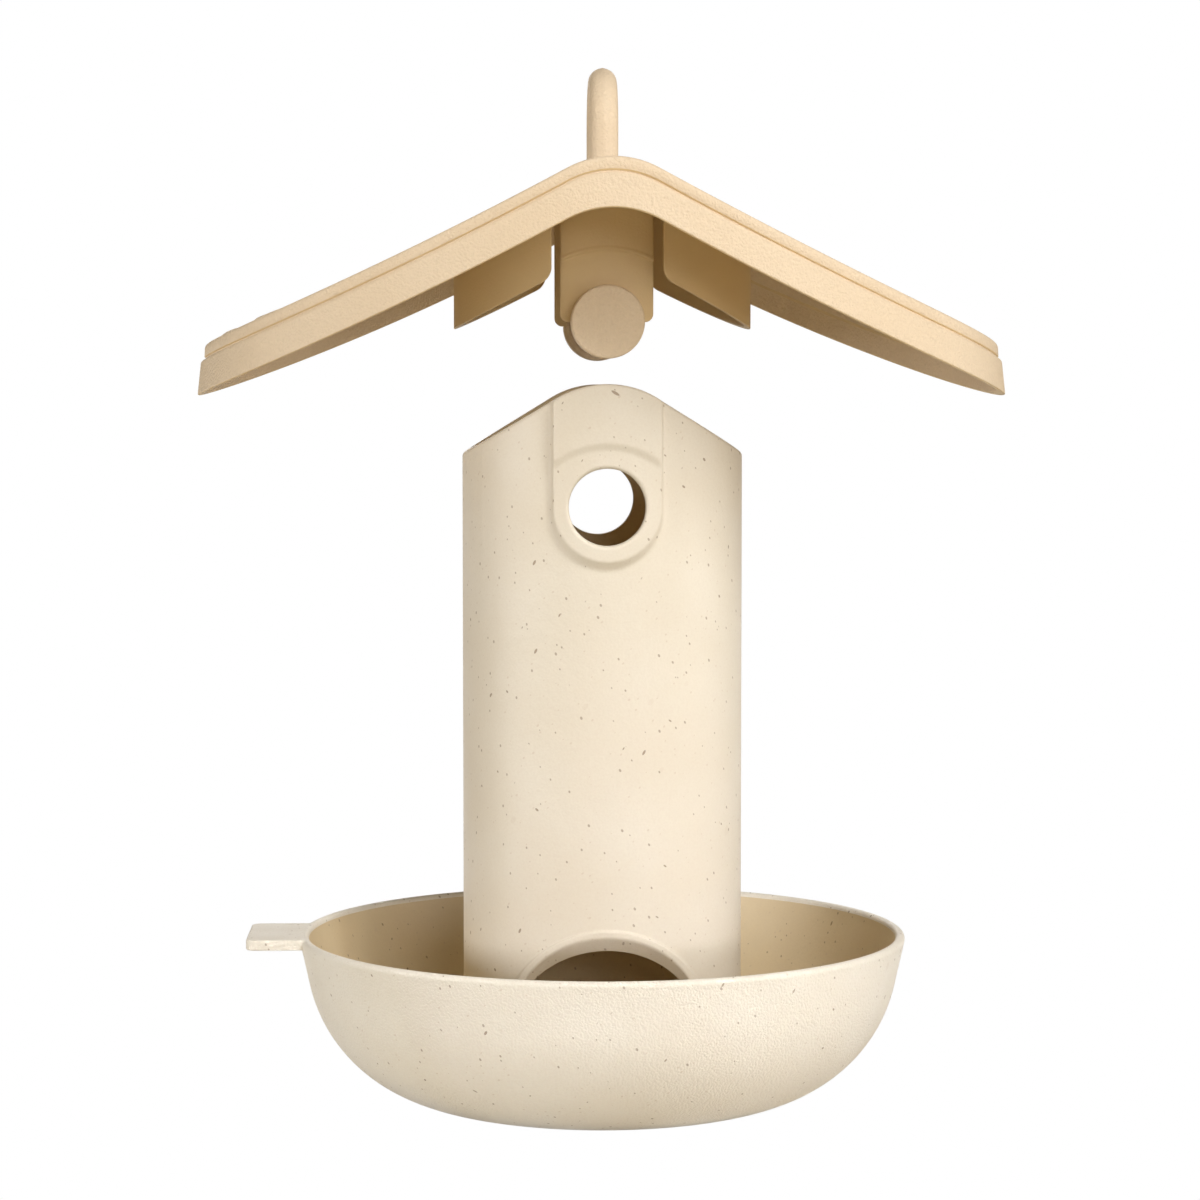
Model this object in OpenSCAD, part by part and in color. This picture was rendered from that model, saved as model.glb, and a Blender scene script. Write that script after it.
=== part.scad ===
// Hanging silo bird feeder with a gabled roof that lifts off a seed tube standing in a bowl.
// Millimetres, +Z up. The origin is the centre of the bowl's underside, on the axis of the silo.
// The roof is drawn lifted off. Moved down by lift, its two buttons stand in the silo's holes.

/* [Bowl] */
// Diameter over the rim
bowl_d = 196; // [184:1:215]
// Height of the rim
bowl_h = 54.5; // [50:0.5:62]
// Thickness of the wall and the floor
bowl_wall = 3; // [2:0.25:4]
// Outer radius of the curve between the side and the base
bowl_curve_r = 49; // [44:0.5:52]
// Lean of the side from upright, in degrees
bowl_lean = 12.5; // [8:0.5:16]
// Depth of the hollow inside the foot
foot_hollow = 0.8; // [0.4:0.1:1.4]
// Width of the ring that the bowl stands on
foot_ring = 8; // [4:0.5:12]
// Height of the ring that locates the silo on the floor
spigot_h = 6; // [4:0.5:8]
// Thickness of the locating ring
spigot_t = 2.4; // [1.6:0.2:3]

/* [Rim tab] */
// Width of the tab along the rim
tab_w = 35; // [24:1:45]
// Reach of the tab beyond the rim
tab_reach = 16.5; // [10:0.5:24]
// Thickness of the tab
tab_t = 3.4; // [2:0.2:5]
// Radius of the tab's two outer corners
tab_corner_r = 3; // [1:0.5:6]

/* [Silo] */
// Outer diameter of the tube
silo_d = 90; // [84:1:96]
// Wall of the tube
silo_wall = 3; // [2:0.25:4]
// Length of the tube from the bowl's floor to its ridge
silo_len = 228.5; // [200:0.5:250]
// Slope of the gable cut on top of the tube, in degrees
silo_slope = 31; // [24:0.5:36]
// Radius that rounds the ridge of the gable cut
silo_ridge_r = 30; // [15:1:40]
// Diameter of the two button holes
hole_d = 24; // [20:0.5:26]
// Distance from the tube's ridge down to the centre of the holes
hole_drop = 38.1; // [32:0.5:46]
// Width of the chamfer round each hole
hole_chamfer = 1.2; // [0.5:0.1:1.8]

/* [Silo pads] */
// Width of the raised pad round each hole
pad_w = 33.8; // [30:0.2:36]
// Height of the pad above the tube
pad_rise = 3.2; // [2.4:0.1:4]
// Depth of the step round the hole
pad_step = 1; // [0.5:0.1:1.6]
// Radius of the arc that ends the step
pad_arc_r = 26.8; // [22:0.2:34]
// Distance from the hole's centre up to the top of that arc
pad_arc_up = 18.8; // [16:0.2:22]
// Spread of the sloped flank at the pad's round foot
pad_flank = 3.3; // [1:0.1:5]

/* [Seed mouth] */
// Radius of the mouth's arch
mouth_r = 30.5; // [24:0.5:32]
// Height of the arch above the bowl's floor, at the inner edge
mouth_h = 51.3; // [42:0.1:60]
// Height of the sill above the bowl's floor
mouth_sill = 9; // [8:0.5:14]
// Rise of the sloped edge from the inside to the outside
mouth_slope = 4.9; // [2:0.1:7]
// Width of the raised lip round the mouth
lip_w = 2; // [1.2:0.1:4]
// Height of the raised lip above the tube
lip_rise = 1; // [0.5:0.1:1.5]

/* [Snap lugs] */
// Width of the lugs that lock the silo to the bowl
lug_w = 8; // [5:0.5:12]
// Height of the lugs
lug_h = 2; // [1.5:0.1:2.5]
// Height of the lugs above the bowl's floor
lug_z = 2.5; // [1.5:0.1:3]

/* [Roof] */
// Width from eave to eave
roof_w = 259; // [235:1:285]
// Depth from front to back
roof_d = 190; // [180:1:215]
// Plan radius of the two rounded ends
roof_end_r = 74; // [60:1:85]
// Slope beside the ridge, in degrees
roof_slope = 28; // [22:0.5:32]
// Radius that rounds the ridge
roof_ridge_r = 29; // [20:1:40]
// Radius of the slow flare from the ridge to the eaves
roof_flare_r = 950; // [700:10:1600]
// Upright thickness of the shell
roof_t = 2.6; // [2:0.1:3.4]
// Height of the upper edge band
plate_h = 4.8; // [4:0.1:6]
// Height of the whole edge, with the lower band
edge_h = 15.2; // [12:0.2:20]
// Width of the ledge between the bands
ledge_w = 2; // [1:0.1:3]
// Thickness of the edge bands
edge_t = 2.6; // [2:0.1:3.4]
// How far the roof is lifted from its seat
lift = 57.3; // [50:0.1:75]

/* [Hanging loop] */
// Diameter of the loop's rod
loop_rod_d = 9.3; // [7:0.1:11]
// Height of the loop above the ridge
loop_h = 34.1; // [28:0.5:44]
// Width of the loop over both legs
loop_w = 40; // [32:0.5:52]

/* [Collar walls] */
// Thickness of the walls that grip the silo
collar_t = 2.3; // [1.6:0.1:3]
// Depth of the walls, from the roof's top down to their lower edge
collar_reach = 28.8; // [22:0.2:34]
// Radius of their lower corners beside the pads
collar_corner_r = 3; // [1:0.5:5]
// Running clearance between the walls, the silo and its pads
collar_gap = 0.35; // [0.2:0.05:0.6]

/* [Latches] */
// Width of each sprung tongue
latch_w = 29; // [24:0.5:32]
// Thickness of the tongue's upper part
latch_t = 3; // [2.4:0.1:3.6]
// Depth of the step on the tongue's face
latch_step = 1; // [0.5:0.1:1.4]
// Radius of the arc that ends that step
latch_arc_r = 32; // [28:0.5:40]
// Distance from the button's centre up to the top of that arc
latch_arc_up = 22.1; // [18:0.2:26]
// Distance from the roof's ridge down to the button's centre
button_drop = 47.7; // [44:0.1:54]
// Clearance between the tongues and the inside of the silo
latch_gap = 0.4; // [0.2:0.05:0.8]
// Radial clearance between the buttons and their holes
button_gap = 0.65; // [0.3:0.05:1]
// How far the buttons stand proud of the pads
button_proud = 1.6; // [0.8:0.1:3]
// Wall and face of the hollow buttons
button_t = 2; // [1.4:0.1:3]
// Radius of the tongue's lower corners
latch_corner_r = 3; // [1:0.5:5]

/* [Hidden] */

roof_colour = [0.80, 0.68, 0.50];
body_colour = [0.90, 0.85, 0.74];
$fn = 96;
fine_fn = 360;
hull_fn = 48;
over = 1;
thin = 0.01;
margin = 8;

// Bowl
rim_r = bowl_d / 2;
side_len = (bowl_h - bowl_wall / 2 - bowl_curve_r
            + (bowl_curve_r - bowl_wall / 2) * sin(bowl_lean)) / cos(bowl_lean);
base_r = rim_r - bowl_wall / 2 - (bowl_curve_r - bowl_wall / 2) * cos(bowl_lean)
         - side_len * sin(bowl_lean);

// Silo
silo_r = silo_d / 2;
bore_r = silo_r - silo_wall;
silo_top = bowl_wall + silo_len;
hole_z = silo_top - hole_drop;
pad_r = silo_r + pad_rise;
pad_face_r = pad_r - pad_step;
lip_r = silo_r + lip_rise;
spigot_gap = 0.2;
spigot_r = bore_r - spigot_gap;
lug_gap = 0.3;
lug_proud = silo_wall / 2;
pad_draft = 1;
pad_base_drop = pad_flank * (pad_r - bore_r) / pad_rise - pad_draft;
arch_z = bowl_wall + mouth_h - mouth_r;
sill_z = bowl_wall + mouth_sill;

// Roof
half_w = roof_w / 2;
half_d = roof_d / 2;
side_r = (pow(half_w - roof_end_r, 2) + half_d * half_d - roof_end_r * roof_end_r)
         / (2 * (half_d - roof_end_r));
side_shift = side_r - half_d;
join_x = (half_w - roof_end_r) * side_r / (side_r - roof_end_r);
button_z = hole_z + lift;
ridge_z = button_z + button_drop;
bend_x = roof_ridge_r * sin(roof_slope);
bend_z = ridge_z - roof_ridge_r * (1 - cos(roof_slope));
flare_x = bend_x + roof_flare_r * sin(roof_slope);
flare_z = bend_z + roof_flare_r * cos(roof_slope);
span_x = half_w + margin;
deep_z = ridge_z - button_drop - roof_w / 4;

// Collar walls and latches
collar_bore_r = silo_r + collar_gap;
collar_r = collar_bore_r + collar_t;
pad_slot_w = pad_w + 2 * collar_gap;
latch_r = bore_r - latch_gap;
latch_in_r = latch_r - latch_t;
button_r = hole_d / 2 - button_gap;
button_face_y = pad_r + button_proud;
button_edge = 0.8;
loop_r = (loop_w - loop_rod_d) / 2;
loop_top = ridge_z + loop_h;

// Height of the roof's upper surface at a distance x from the ridge
function roof_z(x) = abs(x) < bend_x
    ? ridge_z - roof_ridge_r + sqrt(pow(roof_ridge_r, 2) - x * x)
    : flare_z - sqrt(pow(roof_flare_r, 2) - pow(abs(x) - flare_x, 2));

// Outline in the XZ plane, drawn upright and run from front to back
module along_y(depth) {
    translate([0, depth / 2, 0]) rotate([90, 0, 0]) linear_extrude(depth) children();
}

// Round shape on a level axis through the silo's face, from y_near to y_far on the front
module front_rod(r_near, r_far, y_near, y_far, z, fn = 96) {
    translate([0, -y_near, z]) rotate([90, 0, 0])
        cylinder(r1 = r_near, r2 = r_far, h = y_far - y_near, $fn = fn);
}

// Turns the front copy of a shape to the back as well
module front_and_rear() {
    children();
    rotate([0, 0, 180]) children();
}

// Everything under the roof's upper surface, lowered by drop
module under_roof(drop) {
    along_y(roof_d + 2 * margin) translate([0, -drop]) {
        difference() {
            polygon([[-span_x, deep_z], [span_x, deep_z], [span_x, roof_z(span_x)], [bend_x, bend_z],
                     [-bend_x, bend_z], [-span_x, roof_z(span_x)]]);
            for (side = [-1, 1])
                translate([side * flare_x, flare_z]) circle(roof_flare_r, $fn = 4 * fine_fn);
        }
        translate([0, ridge_z - roof_ridge_r]) circle(roof_ridge_r, $fn = fine_fn);
    }
}

// Plan of the roof: an oval of four arcs, drawn in by inset
module roof_plan(inset) {
    intersection() {
        for_both_sides() translate([0, -side_shift]) circle(side_r - inset, $fn = 2 * fine_fn);
        square([2 * join_x, roof_d], center = true);
    }
    for (side = [-1, 1])
        translate([side * (half_w - roof_end_r), 0]) circle(roof_end_r - inset, $fn = fine_fn);
}

// Keeps what lies in both the front and the back copy of an outline
module for_both_sides() {
    intersection() {
        children();
        mirror([0, 1]) children();
    }
}

// The roof's plan run upright through its whole height
module roof_column(inset) {
    translate([0, 0, deep_z]) linear_extrude(ridge_z - deep_z + over) roof_plan(inset);
}

module roof_shell() {
    color(roof_colour) difference() {
        union() {
            intersection() { under_roof(0); roof_column(ledge_w); }
            intersection() { under_roof(plate_h); roof_column(0); }
        }
        intersection() { under_roof(roof_t); roof_column(ledge_w + edge_t); }
        intersection() { under_roof(plate_h + roof_t); roof_column(edge_t); }
        under_roof(edge_h);
    }
}

// Rod bent to an upright loop that stands on the ridge and runs along it
module hanging_loop() {
    color(roof_colour) difference() {
        translate([0, 0, loop_top - loop_rod_d / 2 - loop_r]) {
            intersection() {
                rotate([0, 90, 0]) rotate_extrude() translate([loop_r, 0]) circle(d = loop_rod_d);
                translate([0, 0, loop_w / 2]) cube([loop_w, loop_w, loop_w], center = true);
            }
            front_and_rear() translate([0, loop_r, -loop_h]) cylinder(d = loop_rod_d, h = loop_h);
        }
        under_roof(0);
    }
}

// What rounding the lower corner of a wall beside its pad takes away, in the XZ plane
module corner_waste(x, z, r, slope) {
    centre = [x + r, z - r * tan(slope) + r / cos(slope)];
    foot = centre - r * [sin(slope), cos(slope)];
    difference() {
        polygon([[x - over, centre[1]], [x - over, z - 2 * over], foot - [0, over / 4], foot, centre]);
        translate(centre) circle(r);
    }
}

// Curved wall under the roof that fits round the silo on its right-hand side
module collar_wall() {
    end_x = pad_slot_w / 2;
    difference() {
        intersection() {
            translate([0, 0, deep_z]) difference() {
                cylinder(r = collar_r, h = ridge_z - deep_z, $fn = fine_fn);
                translate([0, 0, -over])
                    cylinder(r = collar_bore_r, h = ridge_z - deep_z + 2 * over, $fn = fine_fn);
            }
            under_roof(roof_t);
            translate([end_x, -silo_d, deep_z]) cube([silo_d, 2 * silo_d, ridge_z - deep_z]);
        }
        under_roof(collar_reach);
        along_y(silo_d * 2)
            corner_waste(end_x, roof_z(end_x) - collar_reach, collar_corner_r, roof_slope);
    }
}

module right_collar() {
    color(roof_colour) collar_wall();
}

module left_collar() {
    color(roof_colour) rotate([0, 0, 180]) collar_wall();
}

// Sprung tongue with its round button, at the front
module latch() {
    arc_z = button_z + latch_arc_up - latch_arc_r;
    difference() {
        intersection() {
            translate([0, 0, button_z]) difference() {
                cylinder(r = latch_r, h = button_drop, $fn = fine_fn);
                translate([0, 0, -over])
                    cylinder(r = latch_in_r, h = button_drop + 2 * over, $fn = fine_fn);
            }
            under_roof(roof_t);
            translate([-latch_w / 2, -silo_d, button_z]) cube([latch_w, silo_d, button_drop]);
        }
        intersection() {
            difference() {
                translate([0, 0, deep_z]) cylinder(r = silo_r, h = ridge_z - deep_z);
                translate([0, 0, deep_z - over])
                    cylinder(r = latch_r - latch_step, h = ridge_z - deep_z + 2 * over, $fn = fine_fn);
            }
            front_rod(latch_arc_r, latch_arc_r, 0, silo_d, arc_z, fine_fn);
        }
        for (side = [0, 1]) mirror([side, 0, 0]) along_y(silo_d)
            corner_waste(-latch_w / 2, button_z, latch_corner_r, 0);
        front_rod(button_r - button_t, button_r - button_t, 0, silo_d, button_z);
    }
    difference() {
        union() {
            front_rod(button_r, button_r, latch_in_r, button_face_y - button_edge, button_z);
            front_rod(button_r, button_r - button_edge, button_face_y - button_edge, button_face_y,
                      button_z);
        }
        front_rod(button_r - button_t, button_r - button_t, latch_in_r - over,
                  button_face_y - button_t, button_z);
    }
}

module front_latch() {
    color(roof_colour) latch();
}

module rear_latch() {
    color(roof_colour) rotate([0, 0, 180]) latch();
}

// Raised pad that carries a button hole, at the front, still running into the tube
module pad() {
    intersection() {
        cylinder(r = pad_r, h = silo_top, $fn = fine_fn);
        union() {
            translate([-pad_w / 2, -silo_d, hole_z]) cube([pad_w, silo_d - bore_r, silo_len]);
            hull() {
                front_rod(pad_w / 2, pad_w / 2, pad_r, pad_r + over, hole_z, hull_fn);
                front_rod(pad_w / 2 + pad_draft, pad_w / 2 + pad_draft, bore_r - over, bore_r,
                          hole_z - pad_base_drop, hull_fn);
            }
        }
    }
}

// Step that lowers the pad's face round the hole
module pad_recess() {
    intersection() {
        difference() {
            cylinder(r = silo_d, h = silo_top, $fn = fine_fn);
            translate([0, 0, -over]) cylinder(r = pad_face_r, h = silo_top + 2 * over, $fn = fine_fn);
        }
        front_rod(pad_arc_r, pad_arc_r, 0, silo_d, hole_z + pad_arc_up - pad_arc_r, fine_fn);
    }
}

// Height of the arch's centre where the mouth crosses a cylinder of radius r
function arch_at(r) = arch_z + mouth_slope * (r - bore_r) / (lip_r - bore_r);

// Block of the mouth's outline, on the front, with its centre at z and its edges moved out by grow
module mouth_block(z, grow) {
    translate([0, 0, z]) rotate([90, 0, 0]) linear_extrude(silo_d) {
        circle(mouth_r + grow, $fn = hull_fn);
        translate([-mouth_r - grow, sill_z - z - grow]) square([2 * (mouth_r + grow), z - sill_z + grow]);
    }
}

// Arched mouth whose edge slopes up to the outside, at the front: it runs from a sheet on the bore
// to a sheet outside the lip
module mouth() {
    hull() for (r = [bore_r - thin, lip_r + over]) intersection() {
        difference() {
            cylinder(r = r, h = silo_top, $fn = 2 * hull_fn);
            translate([0, 0, -over]) cylinder(r = r - thin, h = silo_top + 2 * over, $fn = 2 * hull_fn);
        }
        mouth_block(arch_at(r), 0);
    }
}

// Under the sloped ridge of the silo
module under_silo_ridge() {
    tip_x = silo_ridge_r * sin(silo_slope);
    tip_z = silo_top - silo_ridge_r * (1 - cos(silo_slope));
    wide_x = silo_d;
    along_y(2 * silo_d) {
        polygon([[-wide_x, 0], [wide_x, 0], [wide_x, tip_z - (wide_x - tip_x) * tan(silo_slope)],
                 [tip_x, tip_z], [-tip_x, tip_z],
                 [-wide_x, tip_z - (wide_x - tip_x) * tan(silo_slope)]]);
        translate([0, silo_top - silo_ridge_r]) circle(silo_ridge_r, $fn = fine_fn);
    }
}

// The four places of the snap lugs round the foot of the silo
module at_lugs() {
    for (turn = [45 : 90 : 315]) rotate([0, 0, turn]) children();
}

module silo_tube() {
    color(body_colour) difference() {
        intersection() {
            union() {
                translate([0, 0, bowl_wall]) cylinder(r = silo_r, h = silo_len, $fn = fine_fn);
                front_and_rear() pad();
                intersection() {
                    translate([0, 0, bowl_wall]) cylinder(r = lip_r, h = silo_len, $fn = fine_fn);
                    mouth_block(arch_at(lip_r), lip_w);
                }
            }
            under_silo_ridge();
        }
        translate([0, 0, -over]) cylinder(r = bore_r, h = silo_top + 2 * over, $fn = fine_fn);
        mouth();
        front_and_rear() pad_recess();
        translate([0, silo_d, hole_z]) rotate([90, 0, 0]) cylinder(d = hole_d, h = 2 * silo_d);
        front_and_rear()
            front_rod(hole_d / 2, hole_d / 2 + hole_chamfer + over, pad_face_r - hole_chamfer,
                      pad_face_r + over, hole_z);
        at_lugs() translate([0, -lug_w / 2 - lug_gap, bowl_wall + lug_z - lug_gap])
            cube([silo_d, lug_w + 2 * lug_gap, lug_h + 2 * lug_gap]);
    }
}

// Half of the bowl's section: floor, curve, leaning side and round lip
module bowl_section() {
    square([base_r, bowl_wall]);
    translate([base_r, bowl_curve_r]) rotate(-bowl_lean) {
        intersection() {
            difference() {
                circle(bowl_curve_r, $fn = fine_fn);
                circle(bowl_curve_r - bowl_wall, $fn = fine_fn);
            }
            polygon([[0, 0], [2 * bowl_curve_r, 0], [2 * bowl_curve_r, -2 * bowl_curve_r],
                     2 * bowl_curve_r * [sin(bowl_lean), -cos(bowl_lean)]]);
        }
        translate([bowl_curve_r - bowl_wall, 0]) square([bowl_wall, side_len]);
        translate([bowl_curve_r - bowl_wall / 2, side_len]) circle(d = bowl_wall, $fn = 32);
    }
}

module bowl_wall_solid() {
    rotate_extrude($fn = fine_fn) bowl_section();
}

module bowl() {
    color(body_colour) {
        difference() {
            bowl_wall_solid();
            translate([0, 0, -over]) cylinder(r = base_r - foot_ring, h = foot_hollow + over);
        }
        translate([0, 0, bowl_wall]) difference() {
            cylinder(r = spigot_r, h = spigot_h, $fn = fine_fn);
            translate([0, 0, -over]) cylinder(r = spigot_r - spigot_t, h = spigot_h + 2 * over);
        }
        intersection() {
            at_lugs() translate([spigot_r - spigot_t / 2, -lug_w / 2, bowl_wall + lug_z])
                cube([silo_wall + spigot_t, lug_w, lug_h]);
            cylinder(r = bore_r + lug_proud, h = bowl_h, $fn = fine_fn);
        }
    }
}

// Flat tab that stands out level from the rim, on the left
module rim_tab() {
    outer_x = rim_r + tab_reach;
    color(body_colour) difference() {
        translate([0, 0, bowl_h - tab_t]) linear_extrude(tab_t) mirror([1, 0]) difference() {
            translate([0, -tab_w / 2]) square([outer_x, tab_w]);
            for (side = [0, 1]) mirror([0, side]) difference() {
                translate([outer_x - tab_corner_r, tab_w / 2 - tab_corner_r])
                    square(2 * tab_corner_r);
                translate([outer_x - tab_corner_r, tab_w / 2 - tab_corner_r]) circle(tab_corner_r);
            }
        }
        bowl_wall_solid();
        cylinder(r = rim_r - bowl_wall / 2 - (tab_t - bowl_wall / 2) * tan(bowl_lean), h = bowl_h + over,
                 $fn = fine_fn);
    }
}

roof_shell();
hanging_loop();
left_collar();
right_collar();
front_latch();
rear_latch();
silo_tube();
bowl();
rim_tab();
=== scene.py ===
import math

import bmesh
import bpy
from mathutils import Matrix, Vector


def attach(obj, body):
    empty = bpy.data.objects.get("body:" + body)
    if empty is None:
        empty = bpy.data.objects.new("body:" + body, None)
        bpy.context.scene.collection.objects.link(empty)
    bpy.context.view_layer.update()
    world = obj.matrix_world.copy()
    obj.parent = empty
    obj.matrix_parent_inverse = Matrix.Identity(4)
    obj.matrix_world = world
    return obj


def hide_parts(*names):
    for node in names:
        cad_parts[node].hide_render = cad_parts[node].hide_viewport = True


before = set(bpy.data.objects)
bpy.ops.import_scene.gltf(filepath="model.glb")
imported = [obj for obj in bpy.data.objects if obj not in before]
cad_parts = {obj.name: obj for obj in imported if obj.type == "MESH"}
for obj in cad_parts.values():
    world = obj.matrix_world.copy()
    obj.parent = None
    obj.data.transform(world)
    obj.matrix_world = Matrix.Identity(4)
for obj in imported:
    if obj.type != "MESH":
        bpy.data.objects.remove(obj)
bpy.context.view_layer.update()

# Meshes are worked out in millimetres and scaled to metres when they are finished.
# Flat work has X across, Y up and Z outwards, and is bent round the silo's axis afterwards.

guard = 0.3  # width of the flat band that keeps a rounded edge's shading off the faces beside it
hair, near = 0.001, 0.01  # how far off still counts as the same place, in one sheet and at a joint
weldDist, seamDist = 0.002, 0.005  # points this near are merged, in a piece and between two halves
sharpDegrees = 50  # edges that turn by more than this are shaded sharp
millimetre = 0.001


# Chains of edges

def lineTo(bm, vert, x, y, steps=1):
    start = vert.co.copy()
    for i in range(1, steps + 1):
        vert = bmesh.ops.extrude_vert_indiv(bm, verts=[vert])["verts"][0]
        vert.co = start.lerp(Vector((x, y, start.z)), i / steps)
    return vert


def arcTo(bm, vert, x, y, degrees, steps):
    before = set(bm.edges)
    turned = bmesh.ops.spin(bm, geom=[vert], cent=(x, y, vert.co.z), axis=(0, 0, 1),
                            angle=math.radians(degrees), steps=steps, use_duplicate=False)
    last = [v for v in turned["geom_last"] if isinstance(v, bmesh.types.BMVert)][0]
    return last, [e for e in bm.edges if e not in before]


def weld(bm, dist=weldDist):
    bmesh.ops.remove_doubles(bm, verts=bm.verts[:], dist=dist)


def each(items):
    # Every item once, in the order met
    return list(dict.fromkeys(items))


def closeChain(bm, before):
    # Joins the ends of the chain drawn since before
    chain = [e for e in bm.edges if e not in before]
    bmesh.ops.remove_doubles(bm, verts=each(v for e in chain for v in e.verts), dist=near)
    return [e for e in bm.edges if e not in before]


def ends(edges):
    verts = [v for e in edges for v in e.verts]
    pair = sorted((v for v in verts if verts.count(v) == 1), key=lambda v: v.co.x)
    return pair[0], pair[1]


def chainNormals(edges, outward):
    sums = {}
    for e in edges:
        a, b = e.verts[0].co, e.verts[1].co
        n = Vector((b.y - a.y, a.x - b.x, 0)).normalized()
        if n.dot(outward((a + b) / 2)) < 0:
            n = -n
        for v in e.verts:
            sums.setdefault(v, []).append(n)
    normals, sharpest = {}, 0.3  # a very sharp corner's mitre is cut short
    for v, ns in sums.items():
        mean = sum(ns, Vector()) / len(ns)
        normals[v] = mean / max(mean.length_squared, sharpest)
    return normals


def extrudeChain(bm, edges):
    made = bmesh.ops.extrude_edge_only(bm, edges=edges)["geom"]
    fresh = each(v for v in made if isinstance(v, bmesh.types.BMVert))
    known, source = set(fresh), {}
    for v in fresh:
        source[v] = next(e.other_vert(v) for e in v.link_edges if e.other_vert(v) not in known)
    nextEdges = [e for e in made if isinstance(e, bmesh.types.BMEdge)
                 and e.verts[0] in known and e.verts[1] in known]
    return nextEdges, source


def sweep(bm, edges, steps, outward, shape=None, moveFirst=True):
    # Each step moves a copy of the first chain by (out, up), or to where shape puts it
    def plain(co, n, step):
        return Vector((co.x + n.x * step[0], co.y + n.y * step[0], step[1]))

    shape = shape or plain
    normals = chainNormals(edges, outward)
    base = {v: (v.co.copy(), n) for v, n in normals.items()}
    if moveFirst:
        for v, (co, n) in base.items():
            v.co = shape(co, n, steps[0])
        steps = steps[1:]
    for step in steps:
        edges, source = extrudeChain(bm, edges)
        base = {v: base[old] for v, old in source.items()}
        for v, (co, n) in base.items():
            v.co = shape(co, n, step)
    return edges


def arcRows(bm, radii, heights, centreY, a, steps):
    # Bands between arcs about (0, centreY) that end at x = a and x = -a
    end = math.asin(a / radii[0])
    vert = bm.verts.new((a, centreY + radii[0] * math.cos(end), heights[0]))
    _, first = arcTo(bm, vert, 0, centreY, 2 * math.degrees(end), steps)
    edges = first
    for old, new, height in zip(radii, radii[1:], heights[1:]):
        share = math.asin(a / new) / math.asin(a / old)
        edges, source = extrudeChain(bm, edges)
        for v, was in source.items():
            turned = share * math.atan2(was.co.x, was.co.y - centreY)
            v.co = (new * math.sin(turned), centreY + new * math.cos(turned), height)
    return first, edges


def roundOut(x, y, r, start, end, steps=4):
    # Points of an arc about x, y, with both ends
    angles = [math.radians(start + (end - start) * i / steps) for i in range(steps + 1)]
    return [(x + r * math.cos(a), y + r * math.sin(a)) for a in angles]


def bend3(a, b, c, steps=4):
    # Points of a soft corner that leaves a towards b and ends in c
    def at(t):
        return tuple((1 - t) ** 2 * p + 2 * t * (1 - t) * q + t * t * r for p, q, r in zip(a, b, c))

    return [at(i / steps) for i in range(steps + 1)]


def softCorner(x, y, start, end, size, cut):
    # A corner's three points: size away towards start, cut off its tip, and size away towards end
    return [(x + start[0] * size, y + start[1] * size),
            (x + (start[0] + end[0]) * cut, y + (start[1] + end[1]) * cut),
            (x + end[0] * size, y + end[1] * size)]


def fillFlat(bm, edges):
    filled = bmesh.ops.triangle_fill(bm, use_beauty=True, use_dissolve=False, edges=edges)
    return filled["geom"]


def stripCut(bm, places, geom=None, across=(1, 0, 0)):
    # Cuts along a line of places, so that what follows can bend the mesh between the cuts
    for place in places:
        picked = geom if geom is not None else bm.verts[:] + bm.edges[:] + bm.faces[:]
        cut = bmesh.ops.bisect_plane(bm, geom=picked, dist=1e-5, plane_co=Vector(across) * place,
                                     plane_no=across)
        if geom is not None:
            geom = cut["geom"]


def spaced(low, high, step):
    count = max(1, round((high - low) / step))
    return [low + (high - low) * i / count for i in range(count + 1)]


def raisePlate(bm, thickness, edgeRound):
    # Makes the outline drawn so far a flat plate with rounded edges
    face = bmesh.ops.contextual_create(bm, geom=bm.edges[:])["faces"]
    made = bmesh.ops.extrude_face_region(bm, geom=face)["geom"]
    bmesh.ops.translate(bm, vec=(0, 0, thickness),
                        verts=[g for g in made if isinstance(g, bmesh.types.BMVert)])
    bmesh.ops.recalc_face_normals(bm, faces=bm.faces[:])
    caps = [f for f in bm.faces if abs(f.normal.z) > 0.9]  # top and bottom
    rims = [e for e in bm.edges if sum(f in caps for f in e.link_faces) == 1]
    bmesh.ops.inset_region(bm, faces=caps, thickness=edgeRound + guard, use_even_offset=True)
    bmesh.ops.bevel(bm, geom=rims, offset=edgeRound, offset_type="OFFSET", segments=4, profile=0.5,
                    affect="EDGES", material=-1, clamp_overlap=True)


def turnProfile(bm, places, centre, axis, steps):
    # Places are (distance from the axis, distance along Y or Z)
    lying = axis == "Y"
    verts = [bm.verts.new((r, along, 0) if lying else (r, 0, along)) for r, along in places]
    edges = [bm.edges.new(pair) for pair in zip(verts, verts[1:])]
    bmesh.ops.translate(bm, vec=centre, verts=verts)
    bmesh.ops.spin(bm, geom=verts + edges, cent=centre, axis=(0, 1, 0) if lying else (0, 0, 1),
                   angle=2 * math.pi, steps=steps, use_merge=True, use_duplicate=False)
    weld(bm)


def turnAbout(bm, angle, verts=None):
    turned = Matrix.Rotation(angle, 3, "Z")
    bmesh.ops.rotate(bm, cent=(0, 0, 0), matrix=turned, verts=verts or bm.verts[:])


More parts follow.
